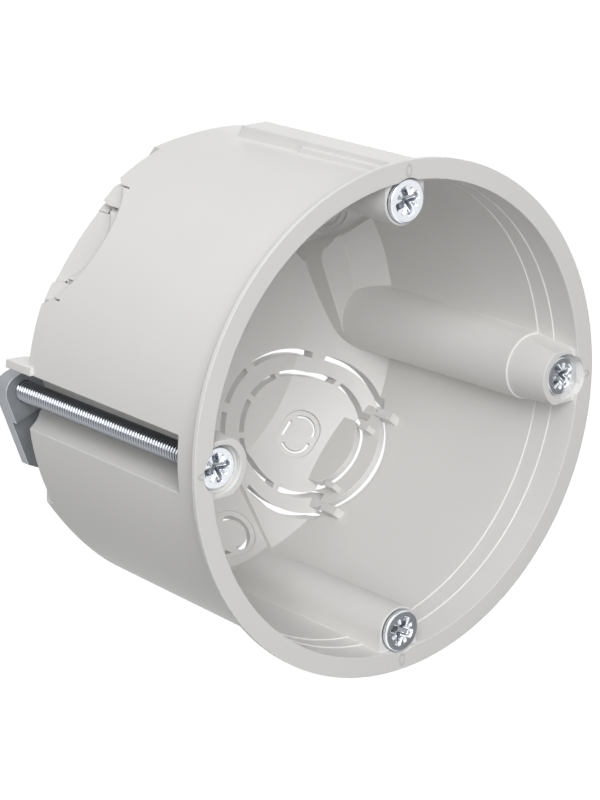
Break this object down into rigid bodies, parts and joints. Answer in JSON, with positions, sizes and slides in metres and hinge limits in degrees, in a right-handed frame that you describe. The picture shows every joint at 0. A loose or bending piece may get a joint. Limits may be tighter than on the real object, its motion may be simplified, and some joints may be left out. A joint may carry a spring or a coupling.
{
  "type": "drywall back box",
  "caption": "Round recessed wiring box for hollow walls, with a thin rim, screw-driven claw clamps, device screws and nested push-out cable entries.",
  "frame": {"origin": "on the box's axis, in the plane of the wall's surface, where the rear face of the rim rests", "axes": "+Y along the box's axis into the wall, the open front faces -Y, +Z towards the upper device screw, +X towards the right clamp"},
  "size_m": [0.071, 0.049, 0.071],
  "materials": {
    "plastic": "light grey moulded plastic, fine satin",
    "screw_steel": "bright zinc plate",
    "clamp_steel": "bright zinc plate, bluish",
    "zinc": "zinc plated, slightly dull"
  },
  "bodies": {
    "box": {"housing": "plastic"},
    "device_screw_top": {"device_screw_top": "screw_steel"},
    "device_screw_bottom": {"device_screw_bottom": "screw_steel"},
    "clamp_screw_left": {"clamp_screw_left": "clamp_steel"},
    "clamp_screw_right": {"clamp_screw_right": "clamp_steel"},
    "claw_left": {"claw_left": "zinc"},
    "claw_right": {"claw_right": "zinc"}
  },
  "joints": [
    {"name": "device_screw_top_turn", "type": "hinge", "parent": "box", "child": "device_screw_top", "pos_m": [0, 0, 0.03], "axis": [0, 1, 0], "continuous": true},
    {"name": "device_screw_bottom_turn", "type": "hinge", "parent": "box", "child": "device_screw_bottom", "pos_m": [0, 0, -0.03], "axis": [0, 1, 0], "continuous": true},
    {"name": "clamp_screw_left_turn", "type": "hinge", "parent": "box", "child": "clamp_screw_left", "pos_m": [-0.0308, 0, 0], "axis": [0, 1, 0], "continuous": true},
    {"name": "clamp_screw_right_turn", "type": "hinge", "parent": "box", "child": "clamp_screw_right", "pos_m": [0.0308, 0, 0], "axis": [0, 1, 0], "continuous": true},
    {"name": "claw_left_swing", "type": "hinge", "parent": "box", "child": "claw_left", "pos_m": [-0.0308, 0.045, 0], "axis": [0, 1, 0], "range_deg": [0, 110.4]},
    {"name": "claw_right_swing", "type": "hinge", "parent": "box", "child": "claw_right", "pos_m": [0.0308, 0.045, 0], "axis": [0, 1, 0], "range_deg": [0, 110.4]}
  ]
}
